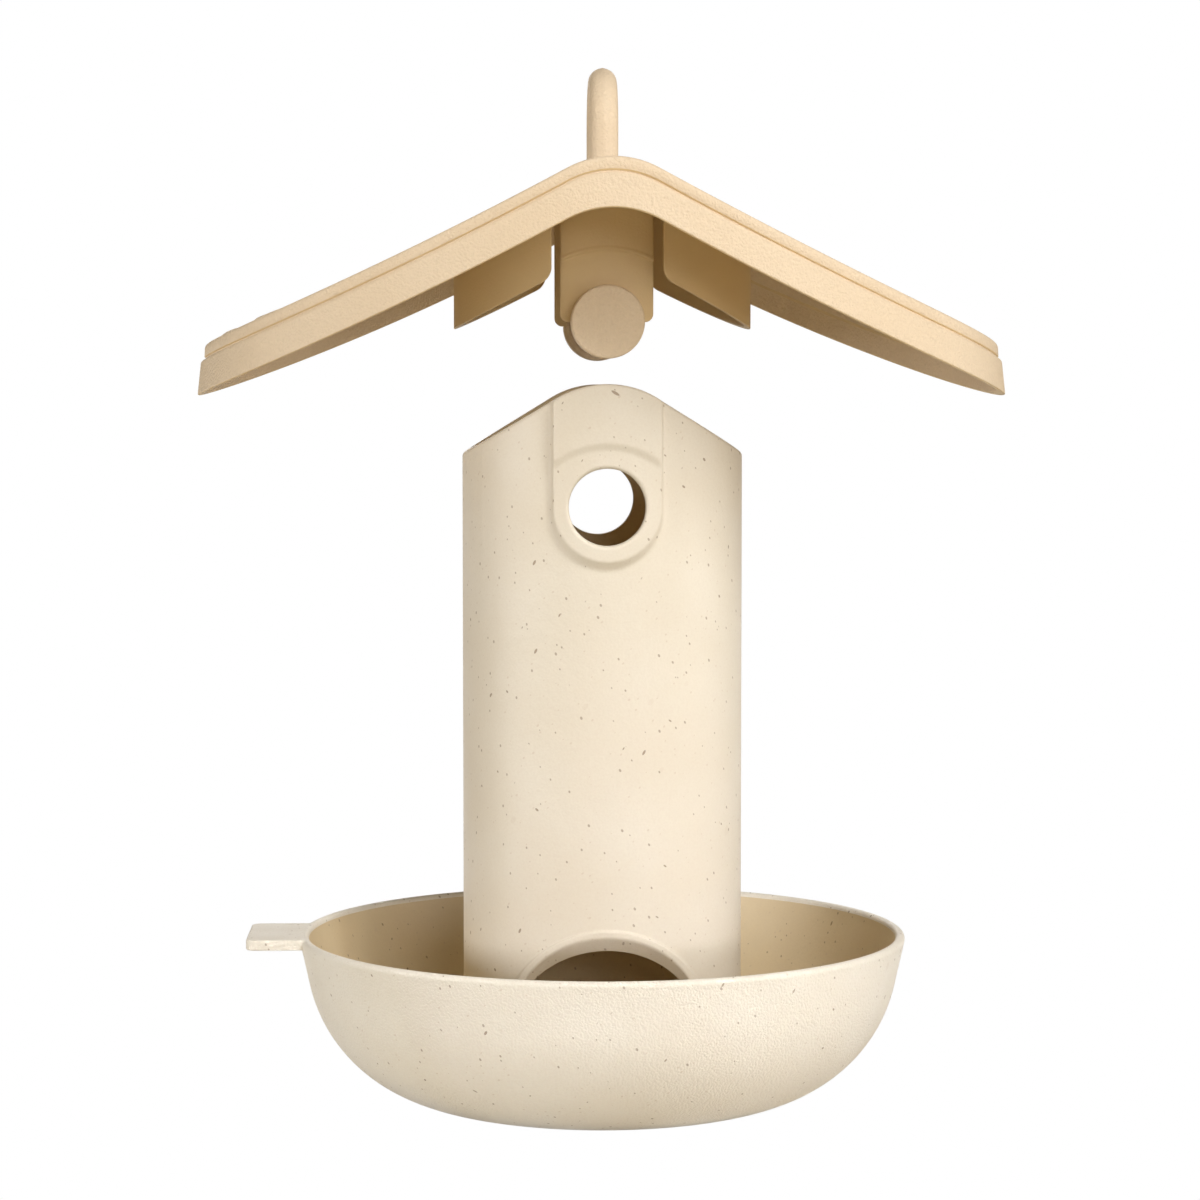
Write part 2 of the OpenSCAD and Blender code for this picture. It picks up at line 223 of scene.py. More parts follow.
def finishPiece(bm, name, body, nodes, materials):
    weld(bm)
    bmesh.ops.recalc_face_normals(bm, faces=bm.faces[:])
    openEdges = sum(1 for e in bm.edges if not e.is_manifold)
    for f in bm.faces:
        f.smooth = True
    for e in bm.edges:
        if len(e.link_faces) == 2 and e.calc_face_angle() > math.radians(sharpDegrees):
            e.smooth = False
    bmesh.ops.scale(bm, vec=[millimetre] * 3, verts=bm.verts[:])
    mesh = bpy.data.meshes.new(name)
    bm.to_mesh(mesh)
    bm.free()
    for m in materials:
        mesh.materials.append(m)
    piece = bpy.data.objects.new(name, mesh)
    bpy.context.scene.collection.objects.link(piece)
    if nodes:
        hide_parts(*nodes)
    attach(piece, body)
    triangles = sum(len(p.vertices) - 2 for p in mesh.polygons)
    print(f"{name}: {triangles} triangles, {openEdges} open edges")


# Shader maths

class Value:
    def __init__(self, shade, socket):
        self.shade, self.socket = shade, socket

    def maths(self, operation, first, second):
        return self.shade.node("ShaderNodeMath", {"operation": operation}, {0: first, 1: second})

    def __add__(self, other):
        return self.maths("ADD", self, other)

    def __sub__(self, other):
        return self.maths("SUBTRACT", self, other)

    def __rsub__(self, other):
        return self.maths("SUBTRACT", other, self)

    def __mul__(self, other):
        return self.maths("MULTIPLY", self, other)

    __radd__, __rmul__ = __add__, __mul__

    def below(self, other):
        return self.maths("LESS_THAN", self, other)

    def highest(self, other):
        return self.maths("MAXIMUM", self, other)


class Shade:
    def __init__(self, owner, outputKind="ShaderNodeOutputMaterial"):
        self.owner, self.outputKind = owner, outputKind
        owner.use_nodes = True
        self.tree = owner.node_tree
        self.tree.nodes.clear()

    def node(self, kind, settings=None, inputs=None, output=0):
        made = self.tree.nodes.new(kind)
        for key, value in (settings or {}).items():
            setattr(made, key, value)
        for key, value in (inputs or {}).items():
            if isinstance(value, Value):
                self.tree.links.new(value.socket, made.inputs[key])
            else:
                made.inputs[key].default_value = value
        return Value(self, made.outputs[output]) if made.outputs else made

    def mix(self, factor, a, b):
        # Sockets 6 and 7 are the colours and output 2 the mixed colour of a Mix node
        return self.node("ShaderNodeMix", {"data_type": "RGBA", "blend_type": "MIX"},
                         {0: factor, 6: a if isinstance(a, Value) else (*a, 1),
                          7: b if isinstance(b, Value) else (*b, 1)}, 2)

    def spread(self, value, low, high, toLow=0.0, toHigh=1.0):
        return self.node("ShaderNodeMapRange", {"clamp": True},
                         {0: value, 1: low, 2: high, 3: toLow, 4: toHigh})

    def noise(self, place, scale, detail):
        return self.node("ShaderNodeTexNoise", None,
                         {"Vector": place, "Scale": scale, "Detail": detail})

    def finish(self, shader):
        self.node(self.outputKind, None, {"Surface": shader})
        return self.owner

    def plastic(self, colour, rough, height):
        bump = self.node("ShaderNodeBump", None,
                         {"Strength": plasticSet["bump"], "Distance": plasticSet["bumpDepth"],
                          "Height": height})
        return self.finish(self.node("ShaderNodeBsdfPrincipled", None, {
            "Base Color": colour, "Roughness": rough, "Normal": bump, "IOR": plasticSet["ior"]}))


plasticSet = {
    "bump": 0.9, "bumpDepth": 0.0004, "ior": 1.46, "fleckEdge": 0.05,
    "cloudFrom": (0.35, 0.68), "roughFrom": (0.3, 0.7),
}
bodyLook = {
    # finishes: two colours that cloud into each other, and how much grain; the grained copy's
    # lighter tone is painted light and the inner copy's darker tone is painted shade
    "satinBody": ((0.785, 0.72, 0.61), (0.76, 0.685, 0.565), 0.12),
    "grainBodyPaintedLight": ((0.87, 0.825, 0.735), (0.84, 0.785, 0.685), 1.0),
    "innerBodyPaintedShade": ((0.74, 0.61, 0.40), (0.72, 0.58, 0.37), 0.12),
    "speck": (0.26, 0.17, 0.09), "faint": (0.55, 0.42, 0.30),
    "roughness": 0.48, "roughSpread": 0.05, "grainRough": 0.1,
    "cloudScale": 28, "grainScale": 1400, "softScale": 260, "softShare": 0.35,
    "grainFrom": (0.4, 0.75), "grainTint": 0.10,
    # grains: cell in mm, smallest and largest radius in mm, share of the cells, stretch, turn
    "patches": (11.0, (0.5, 1.4), 0.5, 1.6, (0.8, 0.2, 1.4)),
    "tiny": (2.0, (0.14, 0.34), 0.5, 1.6, (0.4, 0.9, 0.2)),
    "dots": (2.8, (0.18, 0.4), 0.6, 1.5, (0.3, -0.5, 0.1)),
    "fibres": (4.8, (0.18, 0.44), 0.45, 2.6, (0.2, 0.55, 0.3)),
    "strands": (5.4, (0.18, 0.46), 0.45, 3.2, (-0.3, -1.0, 0.4)),
    "strengths": {"patches": 0.12, "tiny": 0.35, "dots": 0.6, "fibres": 0.75},
}
roofLook = {
    "grainRoof": ((0.775, 0.625, 0.45), (0.755, 0.60, 0.42), 1.0),
    # the satin copy is darker and more saturated than the grained one: painted shade for the roof's
    # underside, the collars and the tongues
    "satinRoofPaintedShade": ((0.71, 0.54, 0.30), (0.69, 0.515, 0.28), 0.15),
    "grain": (0.56, 0.43, 0.28), "roughness": 0.55, "roughSpread": (0.04, 0.06),
    "cloudScale": 22, "grainScale": 1300, "grainFrom": (0.42, 0.72), "tint": 0.02,
    "grainTint": 0.16, "satinBump": 0.1,
}


def flecks(shade, place, cellMm, radiiMm, share, stretch, turn):
    # Mask of scattered grains: one in each Voronoi cell, some left out, each of its own size
    cellSize, soft = cellMm * millimetre, plasticSet["fleckEdge"] / cellMm
    turned = shade.node("ShaderNodeMapping", {"vector_type": "TEXTURE"}, {
        "Vector": place, "Rotation": turn, "Scale": (cellSize, cellSize, cellSize * stretch)})
    cell, at = {"voronoi_dimensions": "3D", "feature": "F1"}, {"Vector": turned, "Scale": 1.0}
    distance = shade.node("ShaderNodeTexVoronoi", cell, at, "Distance")
    tint = shade.node("ShaderNodeTexVoronoi", cell, at, "Color")
    chance = shade.node("ShaderNodeSeparateColor", None, {0: tint}, "Red")
    size = shade.spread(chance, 1 - share, 1, radiiMm[0] / cellMm, radiiMm[1] / cellMm)
    return shade.spread(distance - size, -soft, soft, 1.0, 0.0) * (1 - chance.below(1 - share))


def bodyPlastic(name):
    shade, look = Shade(bpy.data.materials.new(name)), bodyLook
    light, dark, grain = look[name]
    place = shade.node("ShaderNodeTexCoord", None, None, "Object")
    cloud = shade.noise(place, look["cloudScale"], 3)
    colour = shade.mix(shade.spread(cloud, *plasticSet["cloudFrom"]), light, dark)
    masks = {kind: flecks(shade, place, *look[kind])
             for kind in ("patches", "tiny", "dots", "fibres", "strands")}
    masks["fibres"] = masks["fibres"].highest(masks.pop("strands"))
    for kind, mask in masks.items():
        tint = look["faint"] if kind in ("patches", "tiny") else look["speck"]
        colour = shade.mix(mask * look["strengths"][kind], colour, tint)
    fine = shade.noise(place, look["grainScale"], 2)
    tint = shade.spread(fine, *look["grainFrom"], 0.0, look["grainTint"])
    colour = shade.mix(tint, colour, look["faint"])
    low = look["roughness"] - look["roughSpread"]
    high = look["roughness"] + look["roughSpread"] + look["grainRough"] * grain
    rough = shade.spread(cloud, *plasticSet["roughFrom"], low, high)
    soft = shade.noise(place, look["softScale"], 2)
    return shade.plastic(colour, rough, fine * grain + soft * look["softShare"])


def roofPlastic(name):
    shade, look = Shade(bpy.data.materials.new(name)), roofLook
    light, dark, grain = look[name]
    place = shade.node("ShaderNodeTexCoord", None, None, "Object")
    cloud = shade.noise(place, look["cloudScale"], 3)
    fine = shade.noise(place, look["grainScale"], 2)
    colour = shade.mix(shade.spread(cloud, *plasticSet["cloudFrom"]), light, dark)
    tint = shade.spread(fine, *look["grainFrom"], 0.0, look["grainTint"] * grain + look["tint"])
    colour = shade.mix(tint, colour, look["grain"])
    less, more = look["roughSpread"]
    low, high = look["roughness"] - less, look["roughness"] + more
    rough = shade.spread(cloud, *plasticSet["roughFrom"], low, high)
    return shade.plastic(colour, rough, fine * (look["satinBump"] + grain))


satinBody, grainBodyPaintedLight, innerBodyPaintedShade = map(bodyPlastic, ("satinBody", "grainBodyPaintedLight", "innerBodyPaintedShade"))
grainRoof, satinRoofPaintedShade = map(roofPlastic, ("grainRoof", "satinRoofPaintedShade"))
print("materials done")


# Roof shell

roofSet = {
    "width": 259.0, "depth": 190.0, "endRadius": 74.0, "slope": 28.0, "ridgeRadius": 29.0,
    "flareRadius": 950.0, "ridgeZ": 298.4, "endSteps": 56, "sideSteps": 84,
    "topRound": 1.2, "plateInset": 2.35, "plateDrop": 4.8, "skirtInset": 1.0, "edgeDrop": 15.2,
    "wall": 2.6, "draft": 0.02, "stepRound": 0.8, "footRound": 0.5,
    # the groove under the upper step: in from the step's edge, down from the lower step's top
    "groove": ((-0.15, -1.1), (0.0, -0.85), (0.35, -0.62), (0.4, -0.3), (0.2, -0.06), (-0.15, 0.0)),
    "innerLean": 0.3, "upperLean": 0.1, "innerSoft": 0.4, "innerRound": 1.0,
    # raised bars on each eave: start, crest, fall, end across, half of the length, height
    "bars": ((88.0, 103.0, 108.5, 112.0, 32.0, 1.4), (112.5, 116.5, 118.5, 122.0, 24.0, 1.1)),
    "barStart": 88.0, "barEnd": 122.0, "barHalf": 34.0, "barFade": 5.0, "barMargin": 1.0,
    "slopeStrip": 4, "barStrip": 1, "eaveStrip": 2, "eaveMargin": 1.5, "ridgeStrip": 1, "barRow": 2,
    "insideTilt": -0.3, "insideDepth": 0.2, "footBand": 0.3,
}


def roofHeight(x):
    r, f, a = roofSet["ridgeRadius"], roofSet["flareRadius"], math.radians(roofSet["slope"])
    x, bendX = abs(x), r * math.sin(a)
    if x < bendX:
        return roofSet["ridgeZ"] - r + math.sqrt(r * r - x * x)
    bendZ = roofSet["ridgeZ"] - r * (1 - math.cos(a))
    return bendZ + f * math.cos(a) - math.sqrt(f * f - (x - bendX - f * math.sin(a)) ** 2)


def ease(low, high, x):
    k = min(1, max(0, (x - low) / (high - low)))
    return k * k * (3 - 2 * k)


def eaveRelief(x, y):
    height, fade = 0, roofSet["barFade"]
    for start, crest, fall, end, halfLength, rise in roofSet["bars"]:
        along = ease(start, crest, abs(x)) * (1 - ease(fall, end, abs(x)))
        height += rise * along * (1 - ease(halfLength - fade, halfLength, abs(y)))
    return height


def roofEdgePlaces():
    # Each place is how far in from the outline and how far under the roof's surface
    s = roofSet
    top, plate, wall, draft = s["topRound"], s["plateInset"], s["wall"], s["draft"]
    skirt, drop, low, step = s["skirtInset"], s["plateDrop"], s["edgeDrop"], s["stepRound"]
    foot, soft, inner = s["footRound"], s["innerSoft"], s["innerRound"]
    wallTop, upper = wall + s["innerLean"], plate + wall + s["upperLean"]
    places = [(plate + top + 2 * guard, 0), (plate + top, 0)]
    places += roundOut(plate + top, top, top, -90, -180, 5)[1:] + [(plate - draft, top + guard)]
    places += [(plate + inward, drop + under) for inward, under in s["groove"]]
    places += roundOut(skirt + step, drop + step, step, -90, -180, 5)
    places += [(skirt - draft, drop + step + guard), (draft, low - foot - guard)]
    places += roundOut(foot, low - foot, foot, 180, 90, 4)
    places += [(foot + guard, low), (wall - foot - guard, low)]
    places += roundOut(wall - foot, low - foot, foot, 90, 0, 4)
    places += [(wall + draft, low - foot - guard), (wallTop, drop + wall + step)]
    places += roundOut(wallTop + step, drop + wall + step, step, 180, 270, 3)
    places += [(plate + wall - soft, drop + wall), (plate + wall, drop + wall - soft)]
    places += [(upper, wall + inner)] + roundOut(upper + inner, wall + inner, inner, 180, 270, 4)
    return places + [(upper + inner + 2 * guard, wall)]


def makeRoofShell():
    s, bm = roofSet, bmesh.new()
    halfW, halfD, endR = s["width"] / 2, s["depth"] / 2, s["endRadius"]
    endX = halfW - endR
    sideR = (endX ** 2 + halfD ** 2 - endR ** 2) / (2 * (halfD - endR))
    shift = sideR - halfD
    joint = math.degrees(math.atan2(shift, endX))
    turned = math.radians(joint)
    vert = bm.verts.new((endX + endR * math.cos(turned), -endR * math.sin(turned), 0))
    endArc, sideArc = (2 * joint, s["endSteps"]), (180 - 2 * joint, s["sideSteps"])
    for x, y, arc in ((endX, 0, endArc), (0, -shift, sideArc),
                      (-endX, 0, endArc), (0, shift, sideArc)):
        vert, _ = arcTo(bm, vert, x, y, *arc)
    weld(bm, near)
    outline = bm.edges[:]
    steps = [(-inset, -under) for inset, under in roofEdgePlaces()]
    last = sweep(bm, outline, steps, lambda co: co)
    fillFlat(bm, outline)
    fillFlat(bm, last)
    bend = s["ridgeRadius"] * math.sin(math.radians(s["slope"]))
    low, high = s["barStart"] - s["barMargin"], s["barEnd"] + s["barMargin"]
    side = spaced(bend, low, s["slopeStrip"]) + spaced(low, high, s["barStrip"])[1:]
    side += spaced(high, halfW - s["eaveMargin"], s["eaveStrip"])[1:]
    ridge = spaced(-bend + 1, bend - 1, s["ridgeStrip"])
    stripCut(bm, side + [-x for x in side] + ridge)
    upper = [f for f in bm.faces if all(v.co.z > -hair for v in f.verts)
             and abs(f.calc_center_median().x) > low - s["barMargin"] / 2]
    geom = upper + each(e for f in upper for e in f.edges) + each(v for f in upper for v in f.verts)
    stripCut(bm, spaced(-s["barHalf"], s["barHalf"], s["barRow"]), geom, (0, 1, 0))
    for v in bm.verts:
        raised = eaveRelief(v.co.x, v.co.y) if v.co.z > -hair else 0
        v.co.z += roofHeight(v.co.x) + raised
    bm.normal_update()
    weld(bm)
    bmesh.ops.recalc_face_normals(bm, faces=bm.faces[:])
    for f in bm.faces:  # the moulding's inside has no grain; it and the skirt's foot take the darker satin copy, which is painted shade
        centre = f.calc_center_median()
        under = roofHeight(centre.x) - centre.z
        inside = f.normal.z < s["insideTilt"] and under > s["wall"] - s["insideDepth"]
        f.material_index = 1 if inside or under > s["edgeDrop"] - s["footBand"] else 0
    finishPiece(bm, "roofShell", "roof", ["roof_shell"], [grainRoof, satinRoofPaintedShade])


makeRoofShell()


# Hanging loop

loopSet = {
    "rod": 9.3, "width": 40.0, "top": 332.5, "keel": 0.14, "keelHalf": 0.45, "sunk": 1.5,
    "steps": 48,
}


def makeLoop():
    s, bm = loopSet, bmesh.new()
    r = s["rod"] / 2
    loopR = s["width"] / 2 - r
    centreZ, legZ = s["top"] - r - loopR, roofSet["ridgeZ"] - s["sunk"]
    bmesh.ops.create_circle(bm, cap_ends=False, segments=s["steps"], radius=r)
    for v in bm.verts:  # the halves of the mould meet in a fine keel along the loop's plane
        v.co = v.co * (1 - s["keel"] / r * (1 - math.exp(-(v.co.x / s["keelHalf"]) ** 2)))
    bmesh.ops.translate(bm, vec=(0, -loopR, centreZ), verts=bm.verts[:])
    bmesh.ops.spin(bm, geom=bm.verts[:] + bm.edges[:], cent=(0, 0, centreZ), axis=(-1, 0, 0),
                   angle=math.pi, steps=s["steps"], use_duplicate=False)
    legs, _ = extrudeChain(bm, [e for e in bm.edges if e.is_boundary])
    for v in each(v for e in legs for v in e.verts):
        v.co.z = legZ
    finishPiece(bm, "hangingLoop", "roof", ["hanging_loop"], [grainRoof])


makeLoop()


# Collar walls

collarSet = {
    "bore": 45.35, "wall": 2.3, "endX": 17.25, "reach": 28.8, "sunk": 1.3, "cornerRadius": 3.0,
    "cornerSteps": 8, "edgeRound": 0.45, "strip": 1.3,
}


def makeCollar(name, node, turn):
    s, bm = collarSet, bmesh.new()
    middle = s["bore"] + s["wall"] / 2
    half = middle * (math.pi / 2 - math.asin(s["endX"] / middle))
    height, r, steps = s["reach"] - s["sunk"], s["cornerRadius"], s["cornerSteps"]
    vert = bm.verts.new((-half, height, 0))
    vert = lineTo(bm, vert, -half, r)
    vert, _ = arcTo(bm, vert, -half + r, r, 90, steps)
    vert = lineTo(bm, vert, half - r, 0)
    vert, _ = arcTo(bm, vert, half - r, r, 90, steps)
    vert = lineTo(bm, vert, half, height)
    lineTo(bm, vert, -half, height)
    weld(bm)
    raisePlate(bm, s["wall"], s["edgeRound"])
    stripCut(bm, spaced(-half + 1, half - 1, s["strip"]))
    for v in bm.verts:
        radius = s["bore"] + v.co.z
        end = math.asin(s["endX"] / radius)
        turned = end + (math.pi - 2 * end) * (v.co.x + half) / (2 * half)
        x = radius * math.sin(turned)
        v.co = (x, -radius * math.cos(turned), roofHeight(x) - s["reach"] + v.co.y)
    turnAbout(bm, turn)
    # the collars take the darker satin copy, which is painted shade under the roof
    finishPiece(bm, name, "roof", [node], [satinRoofPaintedShade])


makeCollar("rightCollar", "right_collar", 0)
makeCollar("leftCollar", "left_collar", math.pi)
print("roof done")


# Sprung tongues and their buttons

latchSet = {
    "outer": 41.6, "wall": 3.0, "halfWidth": 14.5, "step": 1.0, "arcRadius": 32.0, "arcUp": 22.1,
    "arcSteps": 28, "stepHalf": 0.35, "stepFoot": 0.15, "bead": 0.3, "beadFlat": 0.5,
    "beadWidth": 1.1, "cornerRadius": 2.6, "cornerSteps": 6, "edgeRound": 0.45, "backRound": 0.4,
    "notch": 10.3, "notchSteps": 40, "notchSlack": 0.05, "sunk": 1.3, "rootBand": 5.0,
    "strip": 1, "stripMargin": 0.8,
}
buttonSet = {
    "radius": 11.35, "z": 250.7, "face": 49.8, "back": 38.6, "wall": 2.0, "edgeRound": 0.8,
    "floorRound": 0.5, "turns": 96,
}


def makeLatch(name, node, body, turn):
    s, bm = latchSet, bmesh.new()
    z, r, edge = buttonSet["z"], s["cornerRadius"], s["edgeRound"] + guard
    a = s["halfWidth"] - edge
    centreY = z + s["arcUp"] - s["arcRadius"]
    low, back, flatTop = -s["step"], -s["wall"], roofSet["ridgeZ"]

    # The step's arc with the bead above it
    half, bead, flat, wide = s["stepHalf"], s["bead"], s["beadFlat"], s["beadWidth"]
    offsets = (-half - guard, -half, -half / 2, half / 2, half, half + flat,
               half + (flat + wide) / 2, half + wide, half + wide + guard)
    radii = [s["arcRadius"] + d for d in offsets]
    heights = [low, low, low + s["stepFoot"], bead / 2, bead, bead, bead / 2, 0, 0]
    first, _ = arcRows(bm, radii, heights, centreY, a, s["arcSteps"])

    # The face under the step, round the button's notch
    left, right = ends(first)
    notch = s["notch"] + edge
    meetX = math.sqrt(notch ** 2 - edge ** 2)
    meet = math.degrees(math.asin(edge / notch))
    vert = lineTo(bm, right, a, z + r)
    vert, _ = arcTo(bm, vert, s["halfWidth"] - r, z + r, -90, s["cornerSteps"])
    vert = lineTo(bm, vert, meetX, z + edge)
    vert, _ = arcTo(bm, vert, 0, z, 180 - 2 * meet, s["notchSteps"])
    vert = lineTo(bm, vert, -s["halfWidth"] + r, z + edge)
    vert, _ = arcTo(bm, vert, -s["halfWidth"] + r, z + r, -90, s["cornerSteps"])
    lineTo(bm, vert, left.co.x, left.co.y)
    weld(bm)
    fillFlat(bm, [e for e in bm.edges if len(e.link_faces) < 2
                  and max(v.co.z for v in e.verts) < low + near])

    # The face over the step
    def alongSide(e):
        return all(abs(abs(v.co.x) - a) < hair for v in e.verts)

    upper = [e for e in bm.edges if e.is_boundary and min(v.co.z for v in e.verts) > -near
             and max(abs(v.co.x) for v in e.verts) <= a + near and not alongSide(e)]
    left, right = ends(upper)
    vert = lineTo(bm, right, a, flatTop)
    vert = lineTo(bm, vert, -a, flatTop)
    lineTo(bm, vert, left.co.x, left.co.y)
    weld(bm)
    fillFlat(bm, [e for e in bm.edges if len(e.link_faces) < 2
                  and min(v.co.z for v in e.verts) > -near
                  and not (e.is_boundary and alongSide(e))])

    # The rounded edges, the wall and the back
    path = [e for e in bm.edges if e.is_boundary and min(v.co.y for v in e.verts) < flatTop - near]
    rounding, inner = s["edgeRound"], s["backRound"]
    rim = [(0, 0), (guard, 0)]
    rim += [(guard + x, y) for x, y in bend3((0, 0), (rounding, 0), (rounding, -rounding))[1:]]
    steps = [("face", x, y) for x, y in rim] + [("wall", edge, back + edge)]
    steps += [("wall", edge - x, back + inner - y)
              for x, y in bend3((0, 0), (0, inner), (inner, inner))]
    steps += [("wall", edge - inner - guard, back)]

    def outward(co):  # towards the outline, which is the notch's middle along the notch
        if Vector((co.x, co.y - z)).length < notch + s["notchSlack"]:
            return Vector((-co.x, z - co.y, 0))
        return Vector((co.x, 0, 0)) if co.y > z + edge + near else Vector((0, -1, 0))

    def shape(co, n, step):
        kind, out, height = step
        if kind == "face":
            height += co.z
        return Vector((co.x + n.x * out, co.y + n.y * out, height))

    last = sweep(bm, path, steps, outward, shape)
    left, right = ends(last)
    lineTo(bm, right, left.co.x, left.co.y)
    weld(bm)
    fillFlat(bm, [e for e in bm.edges if len(e.link_faces) < 2
                  and max(v.co.z for v in e.verts) < back + near])
    stripEnd = s["halfWidth"] - s["stripMargin"]
    stripCut(bm, spaced(-stripEnd, stripEnd, s["strip"]))
    for v in bm.verts:  # the root follows the roof's underside
        y = roofHeight(v.co.x) - s["sunk"] if v.co.y > flatTop - s["rootBand"] else v.co.y
        v.co = (v.co.x, -math.sqrt((s["outer"] + v.co.z) ** 2 - v.co.x ** 2), y)
    bmesh.ops.holes_fill(bm, edges=[e for e in bm.edges if e.is_boundary], sides=0)
    turnAbout(bm, turn)
    # the tongue takes the darker satin copy, which is painted shade under the roof
    finishPiece(bm, name, body, [node], [satinRoofPaintedShade])


def makeButton(name, body, turn):
    s, bm = buttonSet, bmesh.new()
    r, edge, hollow, floorR = s["radius"], s["edgeRound"], s["radius"] - s["wall"], s["floorRound"]
    face, back, deep = -s["face"], -s["back"], -s["face"] + s["wall"]
    places = [(0, face), (r - edge - 2 * guard, face), (r - edge, face)]
    places += roundOut(r - edge, face + edge, edge, -90, 0, 5)[1:]
    places += [(r, face + edge + guard), (r, back - 2 * guard), (r, back - guard)]
    places += [(r - guard, back), (hollow + guard, back), (hollow, back - guard)]
    places += [(hollow, deep + floorR + guard)]
    places += roundOut(hollow - floorR, deep + floorR, floorR, 0, -90, 3)
    places += [(hollow - 2 * floorR, deep), (0, deep)]
    turnProfile(bm, places, (0, 0, s["z"]), "Y", s["turns"])
    turnAbout(bm, turn)
    finishPiece(bm, name, body, [], [grainRoof])


for side, turn in (("front", 0), ("rear", math.pi)):
    makeLatch(side + "Tongue", side + "_latch", side + "_latch", turn)
    makeButton(side + "Button", side + "_latch", turn)
print("latches done")


# Silo

siloSet = {
    "radius": 45.0, "bore": 42.0, "foot": 3.0, "top": 231.5, "slope": 31.0, "ridgeRadius": 30.0,
    "rimRound": 0.9, "rimFlat": 0.2, "rimBand": 1.5, "rimSlack": 0.03, "boreRound": 0.4,
    "boreBand": 0.2, "flatTop": 235.0, "stripDegrees": 1.5, "ridgeDegrees": 2,
    "rimTurns": (22.5, 45, 67.5, 90),
}
padSet = {
    "halfWidth": 16.9, "rise": 3.2, "step": 1.0, "arcRadius": 26.8, "arcUp": 18.8, "arcSteps": 30,
    "foldHalf": 1.5, "foldRows": (-1, -0.7, -0.35, 0, 0.35, 0.7, 1),
    "edgeRound": 0.7, "footRound": 1.0, "sideSpread": 0.35, "lowSpread": 2.6, "sideSteps": 6,
    "lowSteps": 56, "holeRadius": 12.0, "holeZ": 193.4, "holeRound": 1.3, "holeSteps": 96,
    # where the rows of the flank lie: 0 to 2 round its upper corner, 3 to 5 round its lower one
    "flankRows": (0, 1, 1.25, 1.5, 1.75, 2, 3, 3.25, 3.5, 3.75, 4, 5),
}
mouthSet = {
    "radius": 30.5, "archZ": 23.8, "rise": 4.9, "sillZ": 12.0, "cornerRadius": 3.0,
    "cornerSteps": 5, "archSteps": 56, "sideSteps": 3, "sillSteps": 12, "lipWidth": 2.0,
    "lipRise": 1.0, "edgeRound": 0.5, "lipFlat": 0.2, "middleDrop": 4.0,
}
windowSet = {"width": 8.6, "low": 5.2, "high": 7.8}


def gableHeight(x, lower=0.0):
    r, a = siloSet["ridgeRadius"], math.radians(siloSet["slope"])
    x, centreZ = abs(x), siloSet["top"] - r
    if x < (r - lower) * math.sin(a):
        return centreZ + math.sqrt((r - lower) ** 2 - x * x)
    return centreZ + (r - lower) / math.cos(a) - x * math.tan(a)


def boreEdge(bore, steps=4):
    # Chain steps from the bore's wall round its edge into a cut
    r = siloSet["boreRound"]
    return bend3((r, bore), (0, bore), (0, bore + r), steps) + [(0, bore + r + guard)]


def bendAt(start, corner, end, k):
    return (1 - k) ** 2 * start + 2 * k * (1 - k) * corner + k * k * end


